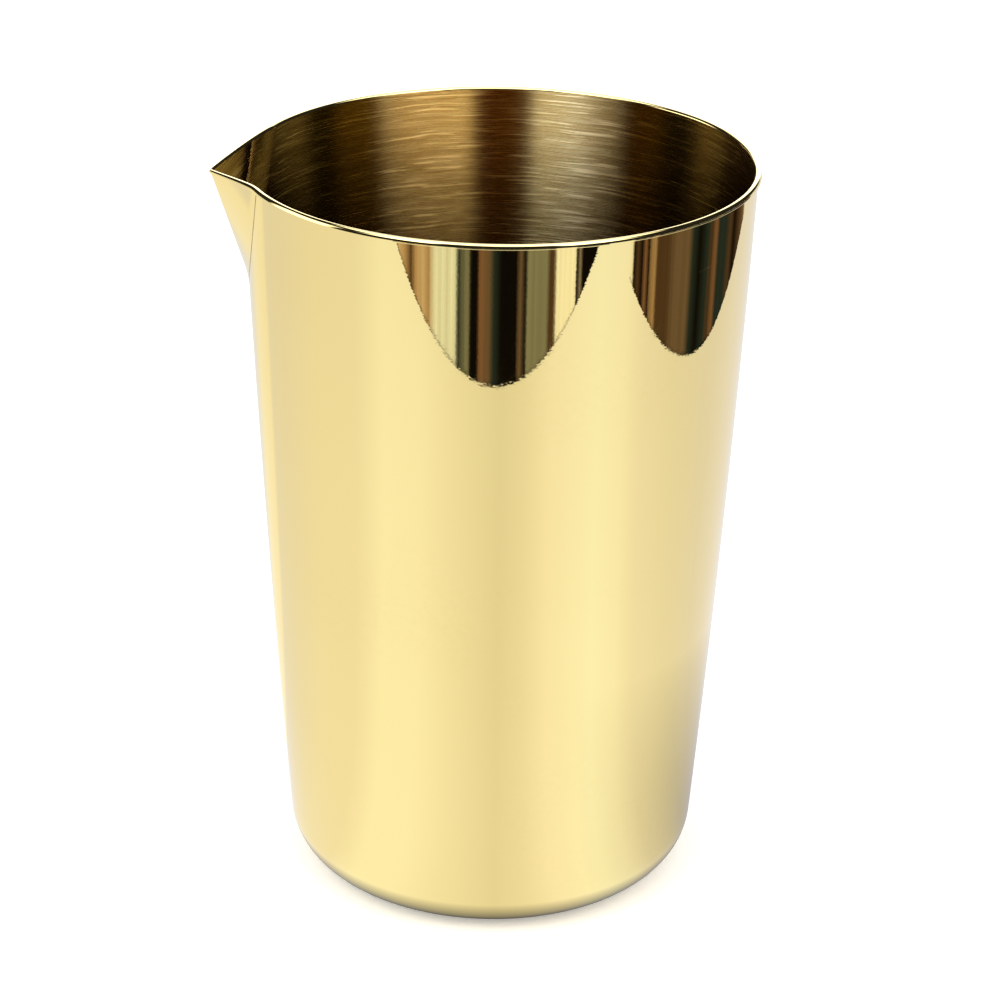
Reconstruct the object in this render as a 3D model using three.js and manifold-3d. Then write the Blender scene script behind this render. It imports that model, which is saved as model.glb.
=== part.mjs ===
// Stirring tin for mixing drinks: a drawn, tapering cup with a hemmed rim and a folded V spout let into its
// wall. Millimetres, +Z up. The origin is the middle of the flat face that the cup stands on, and the spout
// points along -X.
import * as THREE from 'three';
import { mergeVertices } from 'three/addons/utils/BufferGeometryUtils.js';
import Module from 'manifold-3d';

const manifold = await Module();
manifold.setup();

// Driving dimensions of the cup.
const HEIGHT = 120;
const MOUTH_DIAMETER = 79; // inside the rim
const BASE_DIAMETER = 67; // outside, where the wall runs into the base corner
const SHEET = 0.6; // thickness of the metal
const WALL_BOW = 0.5; // swell of the wall outside a straight taper, at mid height
const CORNER_RADIUS = 9; // outside, between the wall and the base
const BEAD_PROUD = 0.45; // how far the hemmed edge stands out from the wall
const BEAD_HEIGHT = 1.3;

// Driving dimensions of the spout.
const SPOUT_REACH = 4.75; // ridge beyond the outside of the wall, at the lip
const SPOUT_DEPTH = 20.2; // rim of the cup down to the foot of the ridge
const LIP_DROOP = 2.3; // tip of the lip below the rim of the cup
const FLANK_WRAP = 0.81; // 1 would make the flanks of the spout tangent to the wall
const SEAM_WIDTH = 0.8; // weld between the spout and the cup
const CLEARANCE = 0.3; // left between two pieces that meet

// How finely the curved surfaces are cut.
const ROUND_STEPS = 72;
const WALL_STEPS = 8;
const CORNER_STEPS = 6;
const CROWN_STEPS = 4;
const CREASE_STEPS = 12;
const SAME_POINT = 1e-4; // corners closer than this are one corner

// Sizes that follow from them.
const RIM_RADIUS = MOUTH_DIAMETER / 2 + SHEET;
const BASE_RADIUS = BASE_DIAMETER / 2;
const FOOT_HEIGHT = HEIGHT - SPOUT_DEPTH;
const LIP_HEIGHT = HEIGHT - LIP_DROOP;
const CUT_BACK = BASE_RADIUS / 2; // the shapes that cut the spout start this far from the axis
const OVERSHOOT = 3; // and run this far past the metal
const SEAM_OFFSET = SEAM_WIDTH / 2;
const FIT_OFFSET = SEAM_OFFSET + CLEARANCE;

const GOLD = { color: 0xe6c878, metalness: 1, roughness: 0.08 };
const SEAM_GOLD = { color: 0xd9b45c, metalness: 1, roughness: 0.3 };

/** Outside radius of the cup's wall at a height. */
function wallRadius(z) {
  const rise = (z - CORNER_RADIUS) / (HEIGHT - CORNER_RADIUS);
  return THREE.MathUtils.lerp(BASE_RADIUS, RIM_RADIUS, rise) + 4 * WALL_BOW * rise * (1 - rise);
}

/** Distance from the axis to the ridge of the spout: a straight line from its foot to the tip of the lip. */
function ridgeRadius(z) {
  const rise = (z - FOOT_HEIGHT) / (LIP_HEIGHT - FOOT_HEIGHT);
  return THREE.MathUtils.lerp(wallRadius(FOOT_HEIGHT), RIM_RADIUS + SPOUT_REACH, rise);
}

/** Where a flank of the spout meets the wall: x along the spout, y across it. */
function creasePoint(z) {
  const wall = wallRadius(z);
  const tangentAngle = Math.acos(Math.min(1, wall / ridgeRadius(z)));
  const angle = FLANK_WRAP * tangentAngle;
  return new THREE.Vector2(wall * Math.cos(angle), wall * Math.sin(angle));
}

/** Closed three.js geometry to a solid that can be joined and cut. */
function solidOf(geometry) {
  const bare = geometry.clone();
  bare.deleteAttribute('normal');
  bare.deleteAttribute('uv');
  const merged = mergeVertices(bare, SAME_POINT);
  return new manifold.Manifold(new manifold.Mesh({
    numProp: 3,
    vertProperties: Float32Array.from(merged.attributes.position.array),
    triVerts: Uint32Array.from(merged.index.array),
  }));
}

/** Solid back to a three.js geometry. */
function geometryOf(solid) {
  const mesh = solid.getMesh();
  const geometry = new THREE.BufferGeometry();
  geometry.setAttribute('position', new THREE.BufferAttribute(mesh.vertProperties, 3));
  geometry.setIndex(new THREE.BufferAttribute(mesh.triVerts, 1));
  geometry.computeVertexNormals();
  return geometry;
}

/** Points of a circular arc in the lathe's plane, both ends included. */
function arcPoints(centre, radius, from, to, steps) {
  return Array.from({ length: steps + 1 }, (_, i) => {
    const angle = THREE.MathUtils.lerp(from, to, i / steps);
    const outward = new THREE.Vector2(Math.cos(angle), Math.sin(angle));
    return outward.multiplyScalar(radius).add(centre);
  });
}

/** The whole cup before the spout's notch is cut: base, corner, wall and hemmed rim in one sheet. */
function cupBlank() {
  const lean = Math.atan(wallRadius(CORNER_RADIUS + 1) - wallRadius(CORNER_RADIUS));
  const wallStart = CORNER_RADIUS * (1 - Math.sin(lean));
  const cornerCentre = new THREE.Vector2(wallRadius(wallStart) - CORNER_RADIUS * Math.cos(lean), CORNER_RADIUS);
  const beadUnderside = HEIGHT - BEAD_HEIGHT;
  const crownRadius = (SHEET + BEAD_PROUD) / 2;
  const crownCentre = new THREE.Vector2(RIM_RADIUS + BEAD_PROUD - crownRadius, HEIGHT - crownRadius);

  const heights = Array.from({ length: WALL_STEPS }, (_, i) =>
    THREE.MathUtils.lerp(wallStart, beadUnderside, (i + 1) / WALL_STEPS));
  const profile = [
    new THREE.Vector2(0, 0),
    ...arcPoints(cornerCentre, CORNER_RADIUS, -Math.PI / 2, -lean, CORNER_STEPS),
    ...heights.map((z) => new THREE.Vector2(wallRadius(z), z)),
    new THREE.Vector2(RIM_RADIUS + BEAD_PROUD, beadUnderside + BEAD_PROUD / 2),
    ...arcPoints(crownCentre, crownRadius, 0, Math.PI, CROWN_STEPS),
    ...heights.toReversed().map((z) => new THREE.Vector2(wallRadius(z) - SHEET, z)),
    ...arcPoints(cornerCentre, CORNER_RADIUS - SHEET, -lean, -Math.PI / 2, CORNER_STEPS),
    new THREE.Vector2(0, SHEET),
  ];
  return solidOf(new THREE.LatheGeometry(profile, ROUND_STEPS).rotateX(Math.PI / 2));
}

/**
 * Outline of the spout on the wall, seen along X, grown by an offset: x across the spout, y up.
 * The crease opens out like a parabola, so its heights are spaced by squares to keep the steps even.
 */
function creaseOutline(offset) {
  const top = HEIGHT + OVERSHOOT;
  const side = [];
  for (let i = 0; i <= CREASE_STEPS; i += 1) {
    const z = THREE.MathUtils.lerp(FOOT_HEIGHT, top, (i / CREASE_STEPS) ** 2);
    side.push(new THREE.Vector2(creasePoint(z).y, z));
  }
  const grown = side.map((point, i) => {
    if (i === 0) return new THREE.Vector2(0, point.y - offset);
    const before = side[i - 1];
    const after = side[Math.min(i + 1, CREASE_STEPS)];
    const along = after.clone().sub(before).normalize();
    return new THREE.Vector2(point.x + offset * along.y, point.y - offset * along.x);
  });
  const mirrored = grown.slice(1).toReversed().map((point) => new THREE.Vector2(-point.x, point.y));
  return new THREE.Shape([...grown, ...mirrored]);
}

/** Block that runs through the wall along X inside the spout's outline, grown by an offset. */
function creaseBlock(offset) {
  const outer = RIM_RADIUS + SPOUT_REACH + BEAD_PROUD + OVERSHOOT;
  const turn = new THREE.Matrix4().makeBasis(
    new THREE.Vector3(0, 1, 0),
    new THREE.Vector3(0, 0, 1),
    new THREE.Vector3(1, 0, 0),
  );
  const block = new THREE.ExtrudeGeometry(creaseOutline(offset), {
    depth: outer - CUT_BACK,
    bevelEnabled: false,
  });
  return solidOf(block.applyMatrix4(turn).translate(-outer, 0, 0));
}

/**
 * Solid wedge between the spout's two flanks, with the flanks moved out by an offset. It is a stack of level
 * outlines of five corners: the ridge, the end of each flank past its crease, and two corners at the back.
 */
function flankWedge(offset, foot, top, back) {
  const corners = 5;
  const positions = [];
  for (let i = 0; i <= CREASE_STEPS; i += 1) {
    const z = THREE.MathUtils.lerp(foot, top, i / CREASE_STEPS);
    const crease = creasePoint(z);
    const ridge = new THREE.Vector2(ridgeRadius(z), 0);
    const along = crease.clone().sub(ridge).normalize();
    const outward = new THREE.Vector2(along.y, -along.x);
    const apex = ridge.x + offset / outward.x;
    const end = crease.clone().addScaledVector(outward, offset).addScaledVector(along, OVERSHOOT);
    positions.push(-apex, 0, z, -end.x, -end.y, z, -back, -end.y, z, -back, end.y, z, -end.x, end.y, z);
  }
  const index = [];
  for (let i = 0; i < CREASE_STEPS; i += 1) {
    for (let j = 0; j < corners; j += 1) {
      const a = i * corners + j;
      const b = i * corners + ((j + 1) % corners);
      index.push(a, b, b + corners, a, b + corners, a + corners);
    }
  }
  const last = CREASE_STEPS * corners;
  for (let j = 1; j < corners - 1; j += 1) {
    index.push(0, j + 1, j, last, last + j, last + j + 1);
  }
  const wedge = new THREE.BufferGeometry();
  wedge.setAttribute('position', new THREE.Float32BufferAttribute(positions, 3));
  wedge.setIndex(index);
  return solidOf(wedge);
}

/** Slab between two lines parallel to the drooping lip, as deep as asked, running across the spout. */
function lipSlab(depth) {
  const start = creasePoint(HEIGHT).x - SHEET;
  const droopSlope = LIP_DROOP / (RIM_RADIUS + SPOUT_REACH - start);
  const lipHeight = (x) => HEIGHT - droopSlope * (x - start);
  const near = CUT_BACK;
  const far = RIM_RADIUS + SPOUT_REACH + BEAD_PROUD + OVERSHOOT;
  const side = new THREE.Shape([
    new THREE.Vector2(-far, lipHeight(far) - depth),
    new THREE.Vector2(-near, lipHeight(near) - depth),
    new THREE.Vector2(-near, lipHeight(near)),
    new THREE.Vector2(-far, lipHeight(far)),
  ]);
  const width = 2 * RIM_RADIUS;
  const slab = new THREE.ExtrudeGeometry(side, { depth: width, bevelEnabled: false });
  return solidOf(slab.translate(0, 0, -width / 2).rotateX(Math.PI / 2));
}

/** Folded V spout with its hemmed lip, cut to stand clear of the weld. */
function spoutSheet() {
  const foot = FOOT_HEIGHT + CLEARANCE;
  const top = HEIGHT + OVERSHOOT;
  const flanks = flankWedge(0, foot, top, CUT_BACK);
  const hem = flankWedge(BEAD_PROUD, foot, top, CUT_BACK).intersect(lipSlab(BEAD_HEIGHT));
  const hollow = flankWedge(-SHEET, foot - CLEARANCE / 2, top + OVERSHOOT, CUT_BACK - OVERSHOOT);
  return flanks
    .intersect(lipSlab(HEIGHT))
    .add(hem)
    .subtract(hollow)
    .intersect(creaseBlock(-FIT_OFFSET));
}

/** One named piece of the assembly. */
function piece(name, solid, finish) {
  const mesh = new THREE.Mesh(geometryOf(solid), new THREE.MeshStandardMaterial(finish));
  mesh.name = name;
  return mesh;
}

const blank = cupBlank();
const cup = blank.subtract(creaseBlock(FIT_OFFSET));
const weld = blank.intersect(creaseBlock(SEAM_OFFSET).subtract(creaseBlock(-SEAM_OFFSET)));

const stirringTin = new THREE.Group();
stirringTin.add(piece('cup_body', cup, GOLD));
stirringTin.add(piece('pour_spout', spoutSheet(), GOLD));
stirringTin.add(piece('spout_weld', weld, SEAM_GOLD));

export default stirringTin;
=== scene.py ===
"""Looks of a gold-coloured cocktail mixing cup with a V-shaped pouring spout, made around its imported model.

The cup is one thin sheet: a flat floor, a rounded corner, a bowed wall and a hemmed rim. The spout is a
V-shaped sheet let into the wall along a soft crease. Every sheet here follows the same rules as the solid
model, so each piece fills the room that its solid holds. Lengths are in metres.
"""

import logging
import math
from dataclasses import dataclass
from enum import Enum

import bmesh
import bpy
from mathutils import Matrix, Vector


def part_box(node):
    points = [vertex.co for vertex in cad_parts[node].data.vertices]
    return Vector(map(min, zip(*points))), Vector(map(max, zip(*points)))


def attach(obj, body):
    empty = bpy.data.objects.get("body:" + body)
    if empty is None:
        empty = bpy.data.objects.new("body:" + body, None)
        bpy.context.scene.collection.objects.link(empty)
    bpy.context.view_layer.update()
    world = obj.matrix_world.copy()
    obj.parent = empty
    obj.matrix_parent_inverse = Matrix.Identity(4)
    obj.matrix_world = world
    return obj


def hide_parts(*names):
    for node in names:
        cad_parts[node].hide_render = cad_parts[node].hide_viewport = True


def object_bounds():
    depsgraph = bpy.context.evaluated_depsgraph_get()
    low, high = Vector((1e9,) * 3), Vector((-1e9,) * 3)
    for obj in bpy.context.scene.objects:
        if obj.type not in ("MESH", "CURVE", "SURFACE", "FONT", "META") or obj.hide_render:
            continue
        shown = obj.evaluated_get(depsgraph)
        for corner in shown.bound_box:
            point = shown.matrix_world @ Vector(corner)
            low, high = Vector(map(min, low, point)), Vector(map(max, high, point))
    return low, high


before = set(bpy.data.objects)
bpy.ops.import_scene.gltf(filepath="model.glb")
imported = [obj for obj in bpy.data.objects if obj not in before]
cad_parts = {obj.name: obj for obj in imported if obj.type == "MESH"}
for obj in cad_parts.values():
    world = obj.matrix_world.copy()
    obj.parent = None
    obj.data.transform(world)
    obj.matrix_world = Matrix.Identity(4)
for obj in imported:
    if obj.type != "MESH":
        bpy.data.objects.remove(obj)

CAD_LOW, CAD_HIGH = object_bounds()
MM = 0.001
HALF_TURN = math.pi
HALF_TURN_DEGREES = 180.0
TURN = 2 * math.pi
BODY = "root"
TINY = 1e-7
JOIN_DISTANCE = 0.002 * MM
QUARTER = 0.25
WARM_WHITE = (1.0, 0.995, 0.985)

log = logging.getLogger("mixing_cup")

Colour = tuple[float, float, float]
Stretch = tuple[float, float]
Stops = tuple[tuple[float, Colour], ...]


# Sizes ------------------------------------------------------------------------------------------------


@dataclass(frozen=True)
class CupSizes:
    """The measures of the cup's outside surface, which its pieces share.

    The height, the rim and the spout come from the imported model. The rest are the wall's own rules.

    Args:
        height: Height of the rim's top.
        rim_radius: Outside radius of the wall at the rim.
        spout_foot: Height at which the spout's ridge leaves the wall.
        ridge_reach: Distance of the ridge from the axis at the lip.
        base_radius: Outside radius just above the corner.
        corner_radius: Radius of the rounded corner at the floor.
        wall_bow: How far the wall bows out at its middle.
        sheet: Thickness of the metal.
        sheet_below_rim: How far the sheet stops below the top of its hem.
        hem_width: Width of the hem from its inner to its outer side.
        hem_crown: Height of the hem's rounded outer side.
        hem_under: How far the hem's flat underside sags.
        hem_inner: Height of the hem's rounded inner side.
        lip_flatness: Size of the hem at the tip, as a share of the full hem.
        lip_drop: How far the lip droops to its tip.
        lip_ease: How softly the droop turns over at the tip.
        flank_wrap: Share of the tangent angle at which a flank leaves the wall.
        fold_foot: Width of the fold beside the crease at the spout's foot.
        fold_rim: Width of the fold beside the crease at the rim.
        fold_share: The most of a flank that its fold may take.
        ridge_round: Rounding of the ridge.
        ridge_share: The most of a flank that the ridge's rounding may take.
        seam_width: Width of the solid seam.
        slack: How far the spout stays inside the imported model's box.
    """

    height: float
    rim_radius: float
    spout_foot: float
    ridge_reach: float
    base_radius: float = 33.5 * MM
    corner_radius: float = 9 * MM
    wall_bow: float = 0.5 * MM
    sheet: float = 0.6 * MM
    sheet_below_rim: float = 0.35 * MM
    hem_width: float = 1.05 * MM
    hem_crown: float = 0.75 * MM
    hem_under: float = 0.05 * MM
    hem_inner: float = 0.4 * MM
    lip_flatness: float = 0.65
    lip_drop: float = 2.3 * MM
    lip_ease: float = 0.18
    flank_wrap: float = 0.81
    fold_foot: float = 0.3 * MM
    fold_rim: float = 3.2 * MM
    fold_share: float = 0.45
    ridge_round: float = 0.4 * MM
    ridge_share: float = 0.3
    seam_width: float = 0.8 * MM
    slack: float = 0.01 * MM

    @classmethod
    def from_model(cls) -> "CupSizes":
        """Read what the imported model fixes.

        Returns:
            The sizes, with the rim and the spout measured on the model's own boxes.
        """
        cup_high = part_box("cup_body")[1]
        spout_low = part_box("pour_spout")[0]
        weld_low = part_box("spout_weld")[0]
        return cls(
            height=CAD_HIGH.z,
            rim_radius=cup_high.y - (cls.hem_width - cls.sheet),
            spout_foot=weld_low.z + cls.seam_width / 2,
            ridge_reach=-spout_low.x - (cls.hem_width * cls.lip_flatness - cls.sheet) - cls.slack,
        )

    def wall_radius(self, z: float) -> float:
        """Outside radius of the round wall.

        Args:
            z: Height.

        Returns:
            The radius at that height.
        """
        rise = (z - self.corner_radius) / (self.height - self.corner_radius)
        straight = self.base_radius + (self.rim_radius - self.base_radius) * rise
        return straight + 4 * self.wall_bow * rise * (1 - rise)

    @property
    def lean(self) -> float:
        """Angle of the wall to the upright just above the corner."""
        return math.atan((self.wall_radius(self.corner_radius + MM) - self.base_radius) / MM)

    @property
    def wall_start(self) -> float:
        """Height at which the corner runs into the wall."""
        return self.corner_radius * (1 - math.sin(self.lean))

    @property
    def corner_centre(self) -> float:
        """Distance of the corner's centre from the axis."""
        return self.wall_radius(self.wall_start) - self.corner_radius * math.cos(self.lean)

    def inputs(self) -> dict[str, float]:
        """Gather the named inputs that each shape tree takes.

        Returns:
            The inputs' values by their labels.
        """
        return {
            "Height": self.height,
            "Rim Radius": self.rim_radius,
            "Base Radius": self.base_radius,
            "Wall Bow": self.wall_bow,
            "Corner Radius": self.corner_radius,
            "Corner Centre": self.corner_centre,
            "Corner Sweep": HALF_TURN / 2 - self.lean,
            "Wall Start": self.wall_start,
            "Start Radius": self.wall_radius(self.wall_start),
            "Spout Foot": self.spout_foot,
            "Ridge Reach": self.ridge_reach,
            "Lip Drop": self.lip_drop,
            "Lip Ease": self.lip_ease,
            "Flank Wrap": self.flank_wrap,
            "Fold At Foot": self.fold_foot,
            "Fold At Rim": self.fold_rim,
            "Fold Share": self.fold_share,
            "Ridge Round": self.ridge_round,
            "Ridge Share": self.ridge_share,
            "Sheet": self.sheet,
            "Sheet Below Rim": self.sheet_below_rim,
            "Hem Radius": self.hem_width / 2,
            "Hem Crown": self.hem_crown,
            "Lip Flatness": self.lip_flatness,
        }


# Arithmetic in node trees -----------------------------------------------------------------------------


class Field:
    """A number socket of a node tree, written in ordinary arithmetic; each step makes one Math node."""

    def __init__(self, tree: bpy.types.NodeTree, socket: bpy.types.NodeSocket) -> None:
        """Hold a socket and the tree that it belongs to."""
        self.tree = tree
        self.socket = socket

    def math(self, operation: str, *others: "Field | float", flip: bool = False) -> "Field":
        """Join this number to others by one Math node.

        Args:
            operation: The Math node's operation.
            others: The numbers that follow this one.
            flip: Puts this number second.

        Returns:
            The node's result.
        """
        node = self.tree.nodes.new("ShaderNodeMath")
        node.operation = operation
        terms = (*others, self) if flip else (self, *others)
        for entry, term in zip(node.inputs, terms):
            feed(self.tree, entry, term)
        return Field(self.tree, node.outputs[0])

    def __add__(self, other: "Field | float") -> "Field":
        """Sum."""
        return self.math("ADD", other)

    __radd__ = __add__

    def __sub__(self, other: "Field | float") -> "Field":
        """Difference."""
        return self.math("SUBTRACT", other)

    def __rsub__(self, other: float) -> "Field":
        """Difference from a plain number."""
        return self.math("SUBTRACT", other, flip=True)

    def __mul__(self, other: "Field | float") -> "Field":
        """Product."""
        return self.math("MULTIPLY", other)

    __rmul__ = __mul__

    def __truediv__(self, other: "Field | float") -> "Field":
        """Quotient."""
        return self.math("DIVIDE", other)

    def __abs__(self) -> "Field":
        """Size without its sign."""
        return self.math("ABSOLUTE")

    def __neg__(self) -> "Field":
        """The same number with the other sign."""
        return self.math("MULTIPLY", -1.0)

    def at_least(self, other: "Field | float") -> "Field":
        """The larger of the two."""
        return self.math("MAXIMUM", other)

    def at_most(self, other: "Field | float") -> "Field":
        """The smaller of the two."""
        return self.math("MINIMUM", other)

    def power(self, exponent: float) -> "Field":
        """This number to a power."""
        return self.math("POWER", exponent)

    def root(self) -> "Field":
        """Square root."""
        return self.math("SQRT")

    def sine(self) -> "Field":
        """Sine of an angle in radians."""
        return self.math("SINE")

    def cosine(self) -> "Field":
        """Cosine of an angle in radians."""
        return self.math("COSINE")

    def sign(self) -> "Field":
        """Minus one, nought or one."""
        return self.math("SIGN")

    def stage(self, start: float, end: float) -> "Field":
        """How far this number has gone from start to end, held between nought and one."""
        return ((self - start) / (end - start)).at_least(0.0).at_most(1.0)

    def fade(self, start: float, end: float) -> "Field":
        """One up to the start, nought from the end."""
        return 1.0 - self.stage(start, end)

    def window(self, rise: Stretch, fall: Stretch) -> "Field":
        """One between the two stretches, rising over the first and falling over the second."""
        return self.stage(*rise) * self.fade(*fall)


def feed(tree: bpy.types.NodeTree, entry: bpy.types.NodeSocket, term: "Field | float") -> None:
    """Give an input its number: a computed one by a link, a plain one as the input's own value.

    Args:
        tree: The tree that the input belongs to.
        entry: The input.
        term: The number.
    """
    if isinstance(term, Field):
        tree.links.new(term.socket, entry)
    else:
        entry.default_value = float(term)


def combined(x: Field, y: Field, z: "Field | float") -> bpy.types.NodeSocket:
    """Join three numbers into a vector.

    Args:
        x: The first number, whose tree takes the node.
        y: The second number.
        z: The third number.

    Returns:
        The vector's socket.
    """
    node = x.tree.nodes.new("ShaderNodeCombineXYZ")
    for entry, term in zip(node.inputs, (x, y, z)):
        feed(x.tree, entry, term)
    return node.outputs[0]


def separated(tree: bpy.types.NodeTree, vector: bpy.types.NodeSocket) -> tuple[Field, Field, Field]:
    """Split a vector into its three numbers.

    Args:
        tree: The tree that the vector belongs to.
        vector: The vector's socket.

    Returns:
        The three numbers.
    """
    node = tree.nodes.new("ShaderNodeSeparateXYZ")
    tree.links.new(vector, node.inputs[0])
    return tuple(Field(tree, out) for out in node.outputs)


def tinted(value: Field, tint: Colour) -> bpy.types.NodeSocket:
    """Turn a number into a shade of a tint.

    Args:
        value: How bright the shade is.
        tint: The tint at a brightness of one.

    Returns:
        The colour's socket.
    """
    node = value.tree.nodes.new("ShaderNodeCombineColor")
    for entry, share in zip(node.inputs, tint):
        feed(value.tree, entry, value * share)
    return node.outputs[0]


# Shape trees ------------------------------------------------------------------------------------------


class ShapeTree:
    """A Geometry Nodes tree with the cup's sizes as named inputs."""

    def __init__(self, name: str, sizes: CupSizes) -> None:
        """Make the empty tree and its inputs.

        Args:
            name: The tree's name.
            sizes: The sizes that its inputs stand for.
        """
        self.tree = bpy.data.node_groups.new(name, "GeometryNodeTree")
        self.values = sizes.inputs()
        self.identifiers: dict[str, str] = {}
        sockets = self.tree.interface
        sockets.new_socket("Geometry", in_out="OUTPUT", socket_type="NodeSocketGeometry")
        for label in self.values:
            made = sockets.new_socket(label, in_out="INPUT", socket_type="NodeSocketFloat")
            self.identifiers[label] = made.identifier
        self.entry = self.node("NodeGroupInput")
        self.exit = self.node("NodeGroupOutput")

    def node(self, kind: str, **values: object) -> bpy.types.Node:
        """Add a node.

        Args:
            kind: The node's type name.
            values: Input values by label, with underscores for spaces.

        Returns:
            The node.
        """
        made = self.tree.nodes.new(kind)
        for label, value in values.items():
            made.inputs[label.replace("_", " ")].default_value = value
        return made

    def link(self, source: bpy.types.NodeSocket, target: bpy.types.NodeSocket) -> None:
        """Join an output to an input."""
        self.tree.links.new(source, target)

    def size(self, label: str) -> Field:
        """One of the named inputs as a number."""
        return Field(self.tree, self.entry.outputs[label])

    def grid(self, columns: int, rows: int) -> tuple[bpy.types.NodeSocket, Field, Field]:
        """Add a flat grid to be bent into a sheet.

        Args:
            columns: Faces across.
            rows: Faces up.

        Returns:
            The mesh, and each point's share of the way across and up.
        """
        mesh = self.node(
            "GeometryNodeMeshGrid", Size_X=1.0, Size_Y=1.0, Vertices_X=columns + 1, Vertices_Y=rows + 1
        )
        x, y, _ = separated(self.tree, self.node("GeometryNodeInputPosition").outputs[0])
        return mesh.outputs["Mesh"], x + 0.5, y + 0.5

    def path(self, points: int) -> tuple[bpy.types.NodeSocket, Field]:
        """Add a straight curve to be bent into a path.

        Args:
            points: Points along it.

        Returns:
            The curve, and each point's share of the way along it, which moving the point doesn't change.
        """
        line = self.node("GeometryNodeCurvePrimitiveLine", Start=(0.0, 0.0, 0.0), End=(1.0, 0.0, 0.0))
        cut = self.node("GeometryNodeResampleCurve", Count=points)
        self.link(line.outputs[0], cut.inputs["Curve"])
        number = Field(self.tree, self.node("GeometryNodeInputIndex").outputs[0])
        return cut.outputs[0], number / float(points - 1)

    def placed(
        self, geometry: bpy.types.NodeSocket, position: bpy.types.NodeSocket
    ) -> bpy.types.NodeSocket:
        """Move every point of a geometry to a computed position.

        Args:
            geometry: The geometry.
            position: The position, computed for each point.

        Returns:
            The moved geometry.
        """
        node = self.node("GeometryNodeSetPosition")
        self.link(geometry, node.inputs["Geometry"])
        self.link(position, node.inputs["Position"])
        return node.outputs[0]

    def merged(self, geometry: bpy.types.NodeSocket) -> bpy.types.NodeSocket:
        """Join points that lie on each other.

        Args:
            geometry: The mesh.

        Returns:
            The joined mesh.
        """
        node = self.node("GeometryNodeMergeByDistance", Distance=JOIN_DISTANCE)
        self.link(geometry, node.inputs["Geometry"])
        return node.outputs[0]

    def section(
        self, width: float, above: float, below: float, inner: float, points: int = 40
    ) -> bpy.types.NodeSocket:
        """Add a rounded section to be swept, round above and flat below.

        Args:
            width: Size to the right of the path.
            above: How far it reaches above its middle.
            below: How far it reaches below its middle.
            inner: Height of its left half, measured from its top.
            points: Points round it.

        Returns:
            The section's curve, whose second axis points down along a level path.
        """
        ring = self.node("GeometryNodeCurvePrimitiveCircle", Resolution=points, Radius=1.0)
        right, down, _ = separated(self.tree, self.node("GeometryNodeInputPosition").outputs[0])
        rise = (-down).at_least(0.0)
        outer = down.at_least(0.0) * below - rise * above
        left = (1.0 - rise) * inner - above
        low_left = (1.0 + right).at_least(0.0) * (below + above - inner) + (inner - above)
        is_left = (-right).math("GREATER_THAN", TINY)
        is_low = down.math("GREATER_THAN", TINY)
        left = left + (low_left - left) * is_low
        reach = outer + (left - outer) * is_left
        return self.placed(ring.outputs[0], combined(right * (width / 2), reach, 0.0))

    def upright(self, path: bpy.types.NodeSocket) -> bpy.types.NodeSocket:
        """Give a path level normals that point to its right.

        Args:
            path: The path.

        Returns:
            The path with its normals.
        """
        node = self.node("GeometryNodeSetCurveNormal")
        node.mode = "Z_UP"
        self.link(path, node.inputs["Curve"])
        return node.outputs[0]

    def shifted(self, path: bpy.types.NodeSocket, right: Field, up: Field) -> bpy.types.NodeSocket:
        """Shift a path along its own normals and upwards.

        Args:
            path: The path.
            right: How far along the normals.
            up: How far up.

        Returns:
            The shifted path.
        """
        x, y, _ = separated(self.tree, self.node("GeometryNodeInputNormal").outputs[0])
        node = self.node("GeometryNodeSetPosition")
        self.link(path, node.inputs["Geometry"])
        self.link(combined(x * right, y * right, up), node.inputs["Offset"])
        return node.outputs[0]

    def swept(
        self, path: bpy.types.NodeSocket, section: bpy.types.NodeSocket, scale: Field | None = None
    ) -> bpy.types.NodeSocket:
        """Sweep a closed section along a path and close its ends.

        Args:
            path: The path.
            section: The section.
            scale: Size of the section at each point of the path.

        Returns:
            The swept mesh.
        """
        node = self.node("GeometryNodeCurveToMesh", Fill_Caps=True)
        self.link(path, node.inputs["Curve"])
        self.link(section, node.inputs["Profile Curve"])
        if scale is not None:
            self.link(scale.socket, node.inputs["Scale"])
        return node.outputs[0]

    def finish(self, geometry: bpy.types.NodeSocket, material: bpy.types.Material) -> None:
        """Shade smooth, realize, set the material and lead to the output.

        Args:
            geometry: The finished geometry.
            material: Its material.
        """
        smooth = self.node("GeometryNodeSetShadeSmooth", Shade_Smooth=True)
        real = self.node("GeometryNodeRealizeInstances")
        painted = self.node("GeometryNodeSetMaterial", Material=material)
        self.link(geometry, smooth.inputs["Geometry"])
        self.link(smooth.outputs[0], real.inputs["Geometry"])
        self.link(real.outputs[0], painted.inputs["Geometry"])
        self.link(painted.outputs[0], self.exit.inputs[0])

    def mesh_object(self, name: str) -> bpy.types.Object:
        """Run the tree once and keep its result as a plain mesh.

        Args:
            name: The piece's name.

        Returns:
            The object, at the origin, with no modifier left.
        """
        shell = bpy.data.objects.new(name, bpy.data.meshes.new(name))
        bpy.context.scene.collection.objects.link(shell)
        modifier = shell.modifiers.new(self.tree.name, "NODES")
        modifier.node_group = self.tree
        for label, value in self.values.items():
            modifier[self.identifiers[label]] = value
        evaluated = shell.evaluated_get(bpy.context.evaluated_depsgraph_get())
        mesh = bpy.data.meshes.new_from_object(evaluated)
        shell.modifiers.remove(modifier)
        shell.data = mesh
        mesh.name = name
        return shell


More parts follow.
